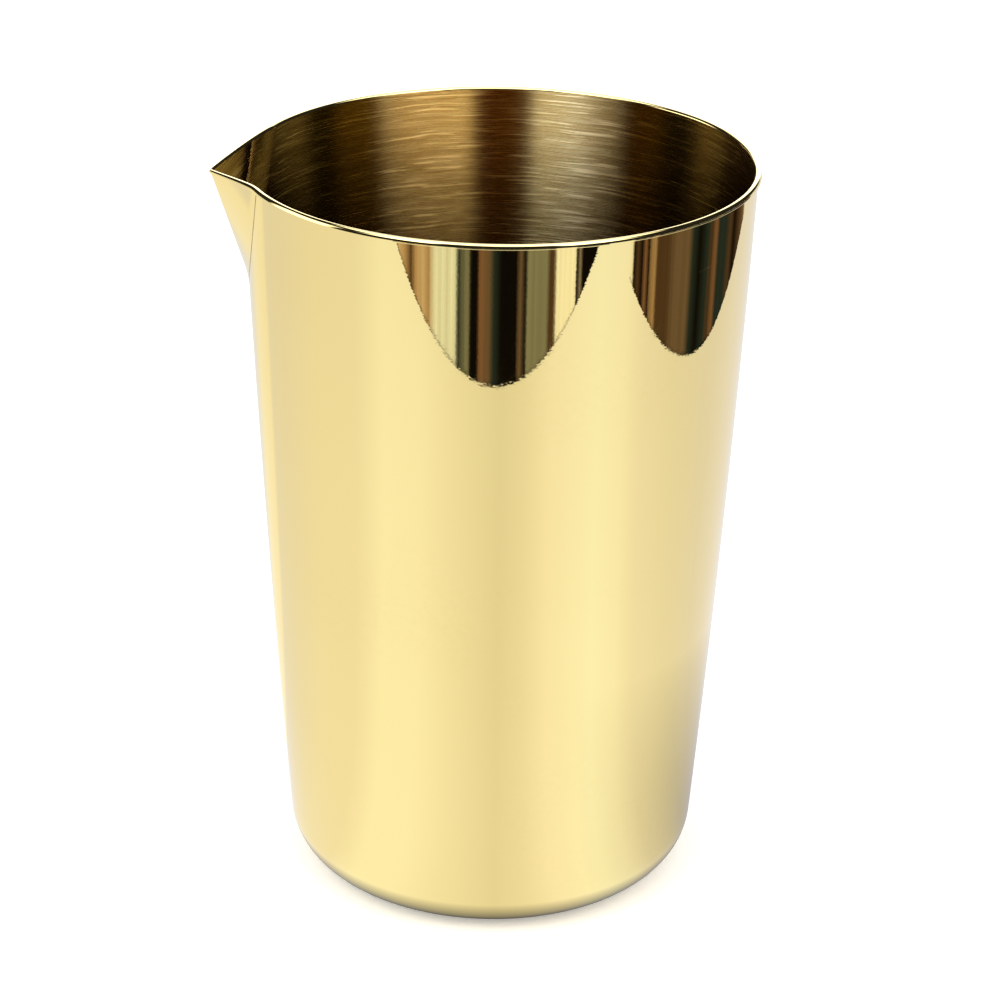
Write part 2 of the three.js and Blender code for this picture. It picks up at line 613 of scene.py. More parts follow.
class SheetRules:
    """The rules of the cup's outside surface as numbers of one shape tree."""

    def __init__(self, shape: ShapeTree) -> None:
        """Take the tree whose inputs the rules read."""
        self.shape = shape
        self.size = shape.size

    def wall(self, z: Field) -> Field:
        """Outside radius of the round wall.

        Args:
            z: Height.

        Returns:
            The radius at that height.
        """
        foot = self.size("Corner Radius")
        rise = (z - foot) / (self.size("Height") - foot)
        straight = self.size("Base Radius") + (self.size("Rim Radius") - self.size("Base Radius")) * rise
        return straight + 4.0 * self.size("Wall Bow") * rise * (1.0 - rise)

    def spout_rise(self, z: Field) -> Field:
        """How far z has risen from the spout's foot to the tip of its lip."""
        foot = self.size("Spout Foot")
        return (z - foot) / (self.size("Height") - self.size("Lip Drop") - foot)

    def ridge(self, z: Field) -> Field:
        """Distance of the spout's ridge from the axis at height z."""
        start = self.wall(self.size("Spout Foot"))
        return start + (self.size("Ridge Reach") - start) * self.spout_rise(z).at_least(0.0)

    def crease_angle(self, z: Field) -> Field:
        """Angle at the axis between the spout's middle and the crease at height z."""
        tangent = (self.wall(z) / self.ridge(z)).at_most(1.0).math("ARCCOSINE")
        return tangent * self.size("Flank Wrap")

    def crease(self, z: Field) -> tuple[Field, Field]:
        """The crease at height z.

        Args:
            z: Height.

        Returns:
            How far it lies out towards the spout, and to the side.
        """
        angle, radius = self.crease_angle(z), self.wall(z)
        return radius * angle.cosine(), radius * angle.sine()

    def flank(self, across: Field, z: Field) -> tuple[Field, Field]:
        """A point of the spout's sheet.

        Args:
            across: From minus one at one crease, through the ridge, to one at the other crease.
            z: Height.

        Returns:
            How far it lies out towards the spout, and to the side.
        """
        out, side = self.crease(z)
        side = side.at_least(TINY)
        slope = self.crease_angle(z).math("TANGENT")
        rise = (z - self.size("Spout Foot")) / (self.size("Height") - self.size("Spout Foot"))
        widening = self.size("Fold At Rim") - self.size("Fold At Foot")
        fold = self.size("Fold At Foot") + widening * rise * rise
        fold = fold.at_most(side * self.size("Fold Share"))
        rounding = self.size("Ridge Round").at_most(side * self.size("Ridge Share"))
        place = across * side
        softened = (place * place + rounding * rounding).root() - rounding
        widest = (side * side + rounding * rounding).root() - rounding
        from_crease = side - softened * side / widest
        steep = (self.ridge(z) - out - slope * fold * 0.5) / (side - fold * 0.5)
        in_fold = from_crease.at_most(fold)
        bend = (steep - slope) * in_fold * in_fold / (2.0 * fold)
        return out + slope * in_fold + bend + steep * (from_crease - in_fold), place

    def lip_height(self, across: Field) -> Field:
        """Height of the spout's lip, which droops from the creases to the ridge.

        Args:
            across: From minus one at one crease, through the ridge, to one at the other crease.

        Returns:
            The lip's height there.
        """
        inward = 1.0 - abs(across)
        ease = self.size("Lip Ease")
        start = (inward * inward + ease * ease).root() - ease
        whole = (ease * ease + 1.0).root() - ease
        return self.size("Height") - self.size("Lip Drop") * start / whole

    def opened(self, share: Field, z: Field, spread: float = 0.95) -> Field:
        """Turn a share of the round into an angle from the spout that leaves the spout's opening free.

        Args:
            share: Share of the round, from one crease about the cup to the other.
            z: Height, which sets how wide the opening is.
            spread: Angle over which the columns beside the opening close up.

        Returns:
            The angle from the spout's middle, counterclockwise from above.
        """
        turn = share * TURN
        nearest = turn.at_most(TURN - turn)
        gap = self.crease_angle(z.at_least(self.size("Spout Foot")))
        return turn + (HALF_TURN - turn).sign() * gap * (1.0 - nearest / spread).at_least(0.0)


# Shared shader groups ---------------------------------------------------------------------------------


class ShaderGroup:
    """A shader node group with named sockets, built once and used by several materials."""

    def __init__(self, name: str, entries: dict[str, float], results: dict[str, str]) -> None:
        """Make the group's sockets.

        Args:
            name: The group's name.
            entries: Number inputs and their default values; a vector input comes first by itself.
            results: Output labels and their socket types.
        """
        self.tree = bpy.data.node_groups.new(name, "ShaderNodeTree")
        sockets = self.tree.interface
        sockets.new_socket("Place", in_out="INPUT", socket_type="NodeSocketVector")
        for label, value in entries.items():
            made = sockets.new_socket(label, in_out="INPUT", socket_type="NodeSocketFloat")
            made.default_value = value
        for label, kind in results.items():
            sockets.new_socket(label, in_out="OUTPUT", socket_type=kind)
        self.entry = self.tree.nodes.new("NodeGroupInput")
        self.exit = self.tree.nodes.new("NodeGroupOutput")

    @property
    def place(self) -> bpy.types.NodeSocket:
        """The vector input."""
        return self.entry.outputs["Place"]

    def value(self, label: str) -> Field:
        """A number input."""
        return Field(self.tree, self.entry.outputs[label])

    def give(self, label: str, result: Field) -> None:
        """Lead a number to an output."""
        self.tree.links.new(result.socket, self.exit.inputs[label])


def noise(
    tree: bpy.types.NodeTree,
    place: bpy.types.NodeSocket,
    scale: float,
    detail: float = 2.0,
    rough: float = 0.5,
) -> Field:
    """Add a noise texture.

    Args:
        tree: The tree that takes it.
        place: Where it is read.
        scale: Cells to a unit of place.
        detail: Octaves.
        rough: Weight of the finer octaves.

    Returns:
        The noise, about a half.
    """
    node = tree.nodes.new("ShaderNodeTexNoise")
    node.inputs["Scale"].default_value = scale
    node.inputs["Detail"].default_value = detail
    node.inputs["Roughness"].default_value = rough
    tree.links.new(place, node.inputs["Vector"])
    return Field(tree, node.outputs["Fac"])


def round_place(
    tree: bpy.types.NodeTree,
    place: bpy.types.NodeSocket,
    along: Field | float,
    fine: Field | float,
    drift_scale: float = 70.0,
    drift_reach: float = 1.1 * MM,
) -> bpy.types.NodeSocket:
    """Stretch a place round the cup's axis, so that a texture read there runs in rings that drift a little.

    Args:
        tree: The tree that takes the nodes.
        place: The plain place.
        along: Cells round the cup to a radian.
        fine: Cells to a metre up the wall, and outwards on the floor.
        drift_scale: How often the rings drift, to a metre.
        drift_reach: How far they drift.

    Returns:
        The stretched place.
    """
    x, y, z = separated(tree, place)
    radius = (x * x + y * y).root().at_least(TINY)
    drift = noise(tree, place, drift_scale, detail=1.0) * drift_reach
    return combined(x / radius * along, y / radius * along, (z + radius + drift) * fine)


def hairline_group() -> bpy.types.NodeTree:
    """Build the fine rings that a brush leaves on a turning sheet.

    Returns:
        The group, whose outputs are a height, a mask of the deeper lines and a shade.
    """
    group = ShaderGroup(
        "hairline_brush",
        {"Streak": 3.0, "Fineness": 5200.0},
        {"Height": "NodeSocketFloat", "Lines": "NodeSocketFloat", "Shade": "NodeSocketFloat"},
    )
    tree, streak, fine = group.tree, group.value("Streak"), group.value("Fineness")
    hair = noise(tree, round_place(tree, group.place, streak, fine * 0.8), 1.0, rough=0.65)
    broad = noise(tree, round_place(tree, group.place, streak * 0.45, fine * 0.22), 1.0, rough=0.6)
    deep = noise(tree, round_place(tree, group.place, streak * 1.3, fine * 0.55), 1.0, detail=1.0)
    lines = deep.stage(0.60, 0.68)
    group.give("Height", hair * 0.6 + broad * 0.6 - lines * 0.5)
    group.give("Lines", lines)
    group.give("Shade", broad * 0.3 + hair * 0.7)
    return group.tree


def wear_group() -> bpy.types.NodeTree:
    """Build the faint marks of handling: smudges, and sparse hair-thin scratches.

    Returns:
        The group, whose outputs are masks of smudges and scratches, a slow waviness and a fine ripple.
    """
    group = ShaderGroup(
        "fine_wear",
        {"Amount": 1.0},
        {
            "Smudges": "NodeSocketFloat",
            "Scratches": "NodeSocketFloat",
            "Waviness": "NodeSocketFloat",
            "Ripple": "NodeSocketFloat",
        },
    )
    tree, amount = group.tree, group.value("Amount")
    cloud = noise(tree, group.place, 34.0, detail=3.0, rough=0.55).stage(0.5, 0.78)
    speck = noise(tree, group.place, 900.0, rough=0.6).stage(0.35, 0.8)
    group.give("Smudges", cloud * speck * amount)
    x, y, z = separated(tree, group.place)
    slanted = combined((x + y) * 60.0 + z * 40.0, (x - y) * 900.0 + z * 1500.0, z * 60.0)
    rare = noise(tree, group.place, 55.0, detail=1.0).stage(0.62, 0.7)
    scratch = noise(tree, slanted, 1.0, detail=1.0).stage(0.7, 0.76)
    group.give("Scratches", scratch * rare * amount)
    group.give("Waviness", noise(tree, round_place(tree, group.place, 2.2, 38.0), 1.0, detail=1.0, rough=0.4))
    group.give("Ripple", noise(tree, group.place, 2200.0, detail=1.0))
    return group.tree


# Finishes ---------------------------------------------------------------------------------------------


class Texture(Enum):
    """How a surface of the cup is worked."""

    POLISHED = "polished"
    BRUSHED = "brushed"
    WELDED = "welded"


@dataclass(frozen=True)
class Finish:
    """One finish of the gold-coloured sheet.

    Args:
        name: The material's name.
        texture: How the surface is worked.
        tint: Colour of what it reflects.
        deep_tint: The tint where it is a shade deeper.
        roughness: Roughness of the clean surface.
        relief: Height of its fine detail in metres.
        anisotropy: How far the brushing draws highlights out.
        wear: How far smudges and scratches show.
    """

    name: str
    texture: Texture
    tint: Colour
    deep_tint: Colour
    roughness: float
    relief: float
    anisotropy: float = 0.0
    wear: float = 1.0


MIRROR = Finish(
    "mirror_gold",
    Texture.POLISHED,
    tint=(0.91, 0.755, 0.34),
    deep_tint=(0.86, 0.69, 0.29),
    roughness=0.012,
    relief=0.0012 * MM,
)
EDGE = Finish(
    "edge_gold",
    Texture.POLISHED,
    tint=(0.91, 0.755, 0.34),
    deep_tint=(0.86, 0.69, 0.29),
    roughness=0.003,
    relief=0.0012 * MM,
    wear=0.0,
)
# The brushed inside's tint is the painted glint of its lines, and its deep tint the darker metal between
# them.
BRUSHED = Finish(
    "brushed_gold",
    Texture.BRUSHED,
    tint=(0.98, 0.77, 0.37),
    deep_tint=(0.50, 0.34, 0.115),
    roughness=0.23,
    relief=0.012 * MM,
    anisotropy=1.0,
)
WELD = Finish(
    "weld_gold",
    Texture.WELDED,
    tint=(0.56, 0.42, 0.17),
    deep_tint=(0.34, 0.23, 0.08),
    roughness=0.09,
    relief=0.003 * MM,
)


@dataclass(frozen=True)
class Surface:
    """What a finish works out for its shader.

    Args:
        height: Height of the fine detail.
        tone: Share of the deeper tint.
        rough: Roughness.
    """

    height: Field
    tone: Field
    rough: Field


class GoldSheet:
    """Builds the cup's materials from its finishes and the shared groups."""

    def __init__(self) -> None:
        """Build the shared groups once."""
        self.hairlines = hairline_group()
        self.wear = wear_group()

    def _group(self, tree: bpy.types.NodeTree, group: bpy.types.NodeTree, **values: float) -> bpy.types.Node:
        """Add a shared group read in the object's own coordinates.

        Args:
            tree: The material's tree.
            group: The shared group.
            values: The group's inputs that differ from their defaults.

        Returns:
            The group's node.
        """
        node = tree.nodes.new("ShaderNodeGroup")
        node.node_tree = group
        place = tree.nodes.new("ShaderNodeTexCoord")
        tree.links.new(place.outputs["Object"], node.inputs["Place"])
        for label, value in values.items():
            node.inputs[label].default_value = value
        return node

    def _tone(self, tree: bpy.types.NodeTree, finish: Finish, share: Field) -> bpy.types.NodeSocket:
        """Mix a finish's two tints.

        Args:
            tree: The material's tree.
            finish: The finish.
            share: Share of the deeper tint, between nought and one.

        Returns:
            The colour.
        """
        mix = tree.nodes.new("ShaderNodeMix")
        mix.data_type = "RGBA"
        colours = [entry for entry in mix.inputs if entry.type == "RGBA"]
        colours[0].default_value = (*finish.tint, 1.0)
        colours[1].default_value = (*finish.deep_tint, 1.0)
        tree.links.new(share.socket, mix.inputs[0])
        return next(out for out in mix.outputs if out.type == "RGBA")

    def _bump(self, tree: bpy.types.NodeTree, height: Field, relief: float) -> bpy.types.NodeSocket:
        """Turn a height into a normal.

        Args:
            tree: The material's tree.
            height: The height.
            relief: Metres that a height of one stands for.

        Returns:
            The normal.
        """
        bump = tree.nodes.new("ShaderNodeBump")
        bump.inputs["Strength"].default_value = 1.0
        bump.inputs["Distance"].default_value = relief
        tree.links.new(height.socket, bump.inputs["Height"])
        return bump.outputs[0]

    def material(self, finish: Finish) -> bpy.types.Material:
        """Build the material of a finish.

        Args:
            finish: What it looks like.

        Returns:
            The material.
        """
        made = bpy.data.materials.new(finish.name)
        made.use_nodes = True
        tree = made.node_tree
        shader = next(node for node in tree.nodes if node.type == "BSDF_PRINCIPLED")
        works = {
            Texture.POLISHED: self._polished,
            Texture.BRUSHED: self._brushed,
            Texture.WELDED: self._welded,
        }
        surface = works[finish.texture](tree, finish)
        tree.links.new(self._tone(tree, finish, surface.tone), shader.inputs["Base Color"])
        tree.links.new(surface.rough.socket, shader.inputs["Roughness"])
        tree.links.new(self._bump(tree, surface.height, finish.relief), shader.inputs["Normal"])
        shader.inputs["Metallic"].default_value = 1.0
        shader.inputs["Anisotropic"].default_value = finish.anisotropy
        shader.inputs["Anisotropic Rotation"].default_value = QUARTER if finish.anisotropy else 0.0
        return made

    def _polished(self, tree: bpy.types.NodeTree, finish: Finish) -> Surface:
        """Work out a polished surface: a slow waviness, a fine ripple and faint marks.

        Args:
            tree: The material's tree.
            finish: The finish.

        Returns:
            The surface.
        """
        wear = self._group(tree, self.wear, Amount=finish.wear)
        smudges, scratches = Field(tree, wear.outputs["Smudges"]), Field(tree, wear.outputs["Scratches"])
        waviness, ripple = Field(tree, wear.outputs["Waviness"]), Field(tree, wear.outputs["Ripple"])
        return Surface(
            height=waviness * 4.0 - scratches * 0.8 + ripple * 0.8,
            tone=smudges * 0.5 + waviness * 0.3,
            rough=finish.roughness + smudges * 0.07 + scratches * 0.12,
        )

    def _brushed(self, tree: bpy.types.NodeTree, finish: Finish) -> Surface:
        """Work out a surface brushed in rings, with painted highlights: its lines and lighter streaks are
        painted in the light tint as glints, and it is deeper in tone between its lines.

        Args:
            tree: The material's tree.
            finish: The finish.

        Returns:
            The surface.
        """
        brush = self._group(tree, self.hairlines)
        lines, shade = Field(tree, brush.outputs["Lines"]), Field(tree, brush.outputs["Shade"])
        return Surface(
            height=Field(tree, brush.outputs["Height"]),
            # Painted highlights: the deeper lines and the high shade are painted lighter in colour, as glints
            # along the brushing.
            tone=1.0 - (shade.stage(0.40, 0.70) * 0.6 + lines * 0.8).at_most(1.0),
            rough=finish.roughness + shade * 0.08 + lines * 0.06,
        )

    def _welded(self, tree: bpy.types.NodeTree, finish: Finish) -> Surface:
        """Work out the surface of a dressed weld: short coarse lines with a few smudges.

        Args:
            tree: The material's tree.
            finish: The finish.

        Returns:
            The surface.
        """
        wear = self._group(tree, self.wear, Amount=finish.wear)
        brush = self._group(tree, self.hairlines, Streak=9.0, Fineness=2600.0)
        tone = Field(tree, brush.outputs["Shade"]).stage(0.3, 0.75)
        return Surface(
            height=Field(tree, brush.outputs["Height"]),
            tone=tone,
            rough=finish.roughness + Field(tree, wear.outputs["Smudges"]) * 0.1 + tone * 0.06,
        )


# Pieces -----------------------------------------------------------------------------------------------


def face_outward(piece: bpy.types.Object) -> None:
    """Turn a sheet's faces to its outside and keep its free edges crisp.

    Args:
        piece: The sheet.
    """
    mesh = bmesh.new()
    mesh.from_mesh(piece.data)
    bmesh.ops.recalc_face_normals(mesh, faces=mesh.faces)
    for edge in mesh.edges:
        edge.smooth = not edge.is_boundary
    facing = 0.0
    for face in mesh.faces:
        facing += face.normal.dot(from_axis(face.calc_center_median())) * face.calc_area()
    if facing < 0:
        bmesh.ops.reverse_faces(mesh, faces=mesh.faces)
    mesh.to_mesh(piece.data)
    mesh.free()


def from_axis(point: Vector) -> Vector:
    """Direction away from the cup's axis and its middle height."""
    return Vector((point.x, point.y, point.z - CAD_HIGH.z / 2))


def thicken(piece: bpy.types.Object, thickness: float, inside: bpy.types.Material) -> None:
    """Give a sheet its thickness on the inside, with a finish of its own there.

    Args:
        piece: The sheet, facing outwards.
        thickness: Thickness of the metal.
        inside: The finish of the inside face.
    """
    piece.data.materials.append(inside)
    solid = piece.modifiers.new("sheet_thickness", "SOLIDIFY")
    solid.thickness = thickness
    solid.offset = -1.0
    solid.use_even_offset = True
    solid.use_quality_normals = True
    solid.material_offset = 1


@dataclass
class Piece:
    """What every piece of the cup shares.

    Args:
        sizes: The cup's measures.
        outside: The finish seen from outside.
        inside: The finish seen from inside.
        edge: The finish of the rolled hems.
    """

    sizes: CupSizes
    outside: bpy.types.Material
    inside: bpy.types.Material
    edge: bpy.types.Material

    def fit(self, piece: bpy.types.Object, slot: str, *stands_for: str) -> bpy.types.Object:
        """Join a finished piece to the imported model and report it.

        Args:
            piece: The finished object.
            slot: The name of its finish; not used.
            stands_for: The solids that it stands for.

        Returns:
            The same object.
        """
        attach(piece, BODY)
        if stands_for:
            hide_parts(*stands_for)
        points = len(piece.data.vertices)
        log.info("%s: %d points, stands for %s", piece.name, points, ", ".join(stands_for) or "no solid")
        return piece


@dataclass
class CupBody(Piece):
    """The round cup: its shell from the floor to the hem, and the hem about its mouth.

    Args:
        columns: Faces round the shell.
        base_rows: Faces from the axis to the corner.
        corner_rows: Faces round the corner.
        low_rows: Faces from the corner to the spout's foot.
        high_rows: Faces from the spout's foot to the hem.
    """

    columns: int = 256
    base_rows: int = 10
    corner_rows: int = 16
    low_rows: int = 30
    high_rows: int = 28

    def shell(self) -> bpy.types.Object:
        """Build the cup's sheet, left open where the spout is let in.

        Returns:
            The finished piece.
        """
        shape = ShapeTree("cup_shell_shape", self.sizes)
        rules, size = SheetRules(shape), shape.size
        rows = self.base_rows + self.corner_rows + self.low_rows + self.high_rows
        mesh, share, up = shape.grid(self.columns, rows)
        row = up * float(rows)
        corner_start = float(self.base_rows)
        low_start = corner_start + self.corner_rows
        high_start = low_start + self.low_rows
        flat = row.stage(0.0, corner_start)
        corner = row.stage(corner_start, low_start) * size("Corner Sweep")
        low = row.stage(low_start, high_start)
        high = row.stage(high_start, float(rows))
        top = size("Height") - size("Sheet Below Rim")
        z = (
            size("Corner Radius") * (1.0 - corner.cosine())
            + low * (size("Spout Foot") - size("Wall Start"))
            + high * high * (top - size("Spout Foot"))
        )
        radius = (
            size("Corner Centre") * flat
            + size("Corner Radius") * corner.sine()
            + rules.wall(z.at_least(size("Wall Start")))
            - size("Start Radius")
        )
        angle = rules.opened(share, z)
        sheet = shape.placed(mesh, combined(-(radius * angle.cosine()), -(radius * angle.sine()), z))
        shape.finish(shape.merged(sheet), self.outside)
        piece = shape.mesh_object("cup_shell")
        face_outward(piece)
        thicken(piece, self.sizes.sheet, self.inside)
        return self.fit(piece, "mirror_gold", "cup_body")

    def hem(self) -> bpy.types.Object:
        """Build the rolled hem about the mouth, from one side of the spout to the other.

        Returns:
            The finished piece.
        """
        shape = ShapeTree("rim_hem_shape", self.sizes)
        rules, size = SheetRules(shape), shape.size
        line, share = shape.path(self.columns + 1)
        height = size("Height")
        angle = rules.opened(share, height)
        radius = rules.wall(height)
        path = shape.placed(line, combined(-(radius * angle.cosine()), -(radius * angle.sine()), height))
        shape.finish(hem_sweep(shape, path, self.sizes), self.edge)
        piece = shape.mesh_object("rim_hem")
        return self.fit(piece, "mirror_gold")


def hem_sweep(
    shape: ShapeTree, path: bpy.types.NodeSocket, sizes: CupSizes, fullness: Field | None = None
) -> bpy.types.NodeSocket:
    """Sweep the hem's section along the top edge of the outside surface.

    Its inner side stays flush with the inside of the sheet, and its top level with the edge.

    Args:
        shape: The tree that takes it.
        path: The edge, run counterclockwise from above.
        sizes: The cup's measures.
        fullness: Size of the section at each point, where it isn't full all along.

    Returns:
        The hem's mesh.
    """
    radius, crown = shape.size("Hem Radius"), shape.size("Hem Crown")
    if fullness is not None:
        radius, crown = radius * fullness, crown * fullness
    middle = shape.shifted(shape.upright(path), radius - shape.size("Sheet"), -crown)
    section = shape.section(sizes.hem_width, sizes.hem_crown, sizes.hem_under, sizes.hem_inner)
    return shape.swept(shape.upright(middle), section, fullness)


@dataclass
class PourSpout(Piece):
    """The V-shaped spout: its sheet, the hem along its lip and the seam along its creases.

    Args:
        weld: The seam's finish.
        columns: Faces across the spout.
        rows: Faces up the spout.
        crowding: How closely the columns crowd towards the ridge.
        swell: How late the lip's hem swells to its full size on its way to the crease.
        seam_share: Half width of the dressed seam, as a share of the solid one's width.
        seam_proud: How far the dressed seam stands out of the wall.
        seam_hidden: How far it stays below the inside of the sheet.
    """

    weld: bpy.types.Material
    columns: int = 112
    rows: int = 56
    crowding: float = 1.8
    swell: float = 1.5
    seam_share: float = 0.35
    seam_proud: float = 0.06 * MM
    seam_hidden: float = 0.08 * MM

    def _crowded(self, share: Field) -> Field:
        """Turn a share of the way across into a place that crowds towards the ridge."""
        place = share * 2.0 - 1.0
        return place.sign() * abs(place).power(self.crowding)

    def shell(self) -> bpy.types.Object:
        """Build the spout's sheet between its two creases.

        Returns:
            The finished piece.
        """
        shape = ShapeTree("spout_shell_shape", self.sizes)
        rules, size = SheetRules(shape), shape.size
        mesh, share, up = shape.grid(self.columns, self.rows)
        across = self._crowded(share)
        top = rules.lip_height(across) - size("Sheet Below Rim")
        z = size("Spout Foot") + up * up * (top - size("Spout Foot"))
        out, side = rules.flank(across, z)
        sheet = shape.placed(mesh, combined(-out, side, z))
        shape.finish(shape.merged(sheet), self.outside)
        piece = shape.mesh_object("spout_shell")
        face_outward(piece)
        thicken(piece, self.sizes.sheet, self.inside)
        return self.fit(piece, "mirror_gold", "pour_spout")

    def hem(self) -> bpy.types.Object:
        """Build the hem along the drooping lip.

        Returns:
            The finished piece.
        """
        shape = ShapeTree("lip_hem_shape", self.sizes)
        rules = SheetRules(shape)
        line, share = shape.path(self.columns * 2 + 1)
        across = self._crowded(1.0 - share)
        height = rules.lip_height(across)
        out, side = rules.flank(across, height)
        path = shape.placed(line, combined(-out, side, height))
        flatness = shape.size("Lip Flatness")
        fullness = flatness + (1.0 - flatness) * abs(across).power(self.swell)
        shape.finish(hem_sweep(shape, path, self.sizes, fullness), self.edge)
        piece = shape.mesh_object("lip_hem")
        return self.fit(piece, "mirror_gold")

    def seam(self) -> bpy.types.Object:
        """Build the dressed seam that joins the spout to the wall along both creases.

        Returns:
            The finished piece.
        """
        shape = ShapeTree("spout_seam_shape", self.sizes)
        rules, size = SheetRules(shape), shape.size
        line, share = shape.path(self.rows * 4 + 1)
        place = 1.0 - share * 2.0
        climb = place * place
        top = size("Height") - size("Sheet Below Rim")
        height = size("Spout Foot") + climb * (top - size("Spout Foot"))
        out, side = rules.crease(height)
        middle = (self.seam_proud - self.sizes.sheet + self.seam_hidden) / 2
        swing = rules.crease_angle(height)
        out = out + middle * swing.cosine()
        side = (side + middle * swing.sine()) * place.sign()
        path = shape.placed(line, combined(-out, side, height))
        free = shape.node("GeometryNodeSetCurveNormal")
        free.mode = "FREE"
        shape.link(path, free.inputs["Curve"])
        radial = combined(-swing.cosine(), place.sign() * swing.sine(), 0.0)
        shape.link(radial, free.inputs["Normal"])
        half = self.sizes.seam_width * self.seam_share
        depth = self.sizes.sheet + self.seam_proud - self.seam_hidden
        section = shape.section(depth, half, half, half, points=20)
        shape.finish(shape.swept(free.outputs[0], section), self.weld)
        piece = shape.mesh_object("spout_seam")
        return self.fit(piece, "weld_gold", "spout_weld")


# Studio -----------------------------------------------------------------------------------------------


@dataclass(frozen=True)
class SoftBox:
    """One soft box of the studio.

    Args:
        name: Its name.
        azimuth: Degrees round from the camera, positive to the right.
        elevation: Degrees above the floor.
        distance: Distance from the cup.
        width: Its width.
        height: Its height.
        power: Its power in watts.
        tint: Its colour.
    """

    name: str
    azimuth: float
    elevation: float
    distance: float
    width: float
    height: float
    power: float
    tint: Colour = (1.0, 0.985, 0.955)


@dataclass(frozen=True)
class RoomCard:
    """A streaked card beyond an edge of the white table, seen only in reflections: its glow is a painted
    reflection of the room.

    Args:
        name: Its name.
        corners: Its corners on the floor plane.
        axis_turn: Turns the streaks' direction: nought in front of the cup, a quarter turn beside it.
        streaks: Pairs of a slope and a colour, in order.
        edge: Distance of the card's near edge, along which it is dark.
        edge_slope: How far that edge runs away, to a metre of its length.
        height: Height above the floor.
        lip: Where the painted dark of its near edge ends, measured from the edge.
        lip_share: Brightness at the near edge, as a share of the rest.
        grain_across: Cells of the streaks' grain to a unit of slope.
        grain_along: Cells of it to a metre away from the cup.
        grain_shift: How far the grain shifts the streaks.
        grain_least: Brightness where the grain is nought.
        grain_swing: How much brighter it gets from there.
    """

    name: str
    corners: tuple[tuple[float, float], ...]
    axis_turn: float
    streaks: Stops
    edge: float
    edge_slope: float = 0.0
    height: float = 0.2 * MM
    lip: Stretch = (0.4 * MM, 2.6 * MM)
    lip_share: float = 0.4
    grain_across: float = 30.0
    grain_along: float = 3.0
    grain_shift: float = 0.04
    grain_least: float = 0.65
    grain_swing: float = 0.7


def coloured(tree: bpy.types.NodeTree, place: Field, stops: Stops) -> bpy.types.NodeSocket:
    """Colour a number by a list of stops.

    Args:
        tree: The tree that takes it.
        place: The number.
        stops: Pairs of a value of that number and a colour, in order.

    Returns:
        The colour.
    """
    ramp = tree.nodes.new("ShaderNodeValToRGB")
    low, high = stops[0][0], stops[-1][0]
    elements = ramp.color_ramp.elements
    while len(elements) < len(stops):
        elements.new(0.5)
    for element, (at, colour) in zip(elements, stops):
        element.position = (at - low) / (high - low)
        element.color = (*colour, 1.0)
    tree.links.new(((place - low) / (high - low)).socket, ramp.inputs[0])
    return ramp.outputs[0]


def round_from_camera(x: Field, y: Field) -> Field:
    """Degrees round the cup from the camera, positive to the right."""
    return x.math("ARCTAN2", -y) * (HALF_TURN_DEGREES / HALF_TURN)


def circle(radius: float, count: int, height: float) -> list[tuple[float, float, float]]:
    """Place points evenly round the cup's axis, counterclockwise from above.

    Args:
        radius: Their distance from the axis.
        count: How many there are.
        height: Their height.

    Returns:
        The points.
    """
    turns = [TURN * number / count for number in range(count)]
    return [(radius * math.cos(turn), radius * math.sin(turn), height) for turn in turns]


def glowing(piece: bpy.types.Object, name: str) -> tuple[bpy.types.NodeTree, bpy.types.Node]:
    """Give a stage card a glowing material.

    Args:
        piece: The card.
        name: The material's name.

    Returns:
        The material's tree and its emission node.
    """
    made = bpy.data.materials.new(name)
    made.use_nodes = True
    tree = made.node_tree
    tree.nodes.clear()
    glow = tree.nodes.new("ShaderNodeEmission")
    end = tree.nodes.new("ShaderNodeOutputMaterial")
    tree.links.new(glow.outputs[0], end.inputs["Surface"])
    piece.data.materials.append(made)
    return tree, glow


